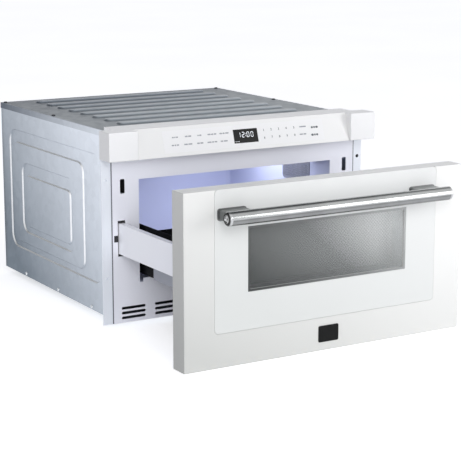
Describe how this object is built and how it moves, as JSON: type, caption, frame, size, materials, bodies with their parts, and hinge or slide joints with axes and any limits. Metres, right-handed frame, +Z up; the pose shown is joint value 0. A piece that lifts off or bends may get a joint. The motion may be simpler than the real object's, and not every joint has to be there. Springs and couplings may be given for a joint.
{
  "type": "microwave drawer",
  "caption": "Built-in microwave oven whose white drawer front, food pan and bar handle slide out of a sheet-steel chassis under a slanted control panel.",
  "frame": {"origin": "centre of the chassis underside, where it stands on its cabinet shelf", "axes": "+X to the right, +Y to the back of the cabinet, +Z up; the drawer opens along -Y"},
  "size_m": [0.606, 0.9377, 0.3884],
  "materials": {
    "zinc_coated_sheet": "smooth zinc-coated sheet",
    "white_coated_sheet": "smooth powder coat",
    "white_front": "gloss white coat",
    "white_glass": "back-painted glass",
    "clear_glass": "polished",
    "black_glass": "gloss",
    "dark_screen": "perforated sheet",
    "polished_steel": "fine satin with polished ends",
    "chrome_cap": "polished",
    "cavity_coat": "light enamel",
    "black_coat": "non-stick coat",
    "tray_ceramic": "smooth",
    "slide_steel": "zinc plated",
    "grey_rail": "satin",
    "dark_plastic": "moulded",
    "light_plastic": "moulded",
    "mica": "pressed sheet",
    "laminated_steel": "varnished",
    "winding_wire": "enamelled wire",
    "circuit_board": "laminate",
    "blackened_screw": "blackened",
    "aluminium_part": "satin",
    "lamp_housing": "moulded",
    "nylon": "moulded"
  },
  "bodies": {
    "chassis": {"base_pan": "zinc_coated_sheet", "left_side_panel": "zinc_coated_sheet", "right_side_panel": "zinc_coated_sheet", "top_cover": "zinc_coated_sheet", "back_panel": "zinc_coated_sheet", "front_frame": "white_coated_sheet", "left_mounting_flange": "white_coated_sheet", "right_mounting_flange": "white_coated_sheet", "oven_cavity": "cavity_coat", "air_grille": "dark_screen", "cavity_lamp": "lamp_housing", "waveguide": "zinc_coated_sheet", "waveguide_cover": "mica", "magnetron": "aluminium_part", "transformer_core": "laminated_steel", "transformer_windings": "winding_wire", "hv_capacitor": "aluminium_part", "fan_housing": "dark_plastic", "fan_motor": "dark_plastic", "stirrer_motor": "zinc_coated_sheet", "cord_gland": "dark_plastic", "control_board": "circuit_board", "left_slide_rail": "slide_steel", "right_slide_rail": "slide_steel", "drive_motor": "dark_plastic", "left_interlock_switch": "dark_plastic", "right_interlock_switch": "dark_plastic", "panel_housing": "white_front", "control_fascia": "white_front", "left_end_trim": "white_front", "right_end_trim": "white_front", "display_window": "black_glass", "case_screws": "blackened_screw"},
    "drawer": {"door_frame": "white_front", "door_panel": "white_glass", "window_pane": "clear_glass", "window_screen": "dark_screen", "door_inner_plate": "white_coated_sheet", "choke_cover": "light_plastic", "handle_bar": "polished_steel", "left_handle_post": "polished_steel", "right_handle_post": "polished_steel", "handle_end_caps": "chrome_cap", "badge_plate": "black_glass", "left_side_arm": "white_coated_sheet", "right_side_arm": "white_coated_sheet", "left_slide_inner": "slide_steel", "right_slide_inner": "slide_steel", "drawer_pan": "black_coat", "glass_tray": "tray_ceramic", "drive_rack": "nylon", "left_pan_rail": "grey_rail", "right_pan_rail": "grey_rail"},
    "fan_impeller": {"fan_impeller": "dark_plastic"},
    "stirrer": {"stirrer": "aluminium_part"},
    "drive_pinion": {"drive_pinion": "nylon"},
    "left_slide_middle": {"left_slide_middle": "slide_steel"},
    "right_slide_middle": {"right_slide_middle": "slide_steel"},
    "left_latch_hook": {"left_latch_hook": "light_plastic"},
    "right_latch_hook": {"right_latch_hook": "light_plastic"}
  },
  "joints": [
    {"name": "drawer_travel", "type": "slide", "parent": "chassis", "child": "drawer", "axis": [0, -1, 0], "range_m": [-0.28, 0.1]},
    {"name": "left_slide_travel", "type": "slide", "parent": "chassis", "child": "left_slide_middle", "axis": [0, -1, 0], "range_m": [-0.14, 0.05]},
    {"name": "right_slide_travel", "type": "slide", "parent": "chassis", "child": "right_slide_middle", "axis": [0, -1, 0], "range_m": [-0.14, 0.05]},
    {"name": "pinion_spin", "type": "hinge", "parent": "chassis", "child": "drive_pinion", "pos_m": [0.0195, -0.25, 0.049], "axis": [0, 0, 1], "range_deg": [-1190, 426]},
    {"name": "stirrer_spin", "type": "hinge", "parent": "chassis", "child": "stirrer", "pos_m": [0, -0.06, 0.29], "axis": [0, 0, 1], "continuous": true},
    {"name": "fan_spin", "type": "hinge", "parent": "chassis", "child": "fan_impeller", "pos_m": [0.15, 0.255, 0.091], "axis": [0, 1, 0], "continuous": true},
    {"name": "left_latch_lift", "type": "hinge", "parent": "drawer", "child": "left_latch_hook", "pos_m": [-0.256, -0.5715, 0.265], "axis": [1, 0, 0], "range_deg": [0, 8], "stiffness_Nm_per_rad": 0.5, "springref_deg": -8.59},
    {"name": "right_latch_lift", "type": "hinge", "parent": "drawer", "child": "right_latch_hook", "pos_m": [0.256, -0.5715, 0.265], "axis": [1, 0, 0], "range_deg": [0, 8], "stiffness_Nm_per_rad": 0.5, "springref_deg": -8.59}
  ],
  "couplings": [
    {"joint": "left_slide_travel", "follows": "drawer_travel", "ratio": 0.5},
    {"joint": "right_slide_travel", "follows": "drawer_travel", "ratio": 0.5},
    {"joint": "pinion_spin", "follows": "drawer_travel", "rad_per_m": 74.074}
  ]
}
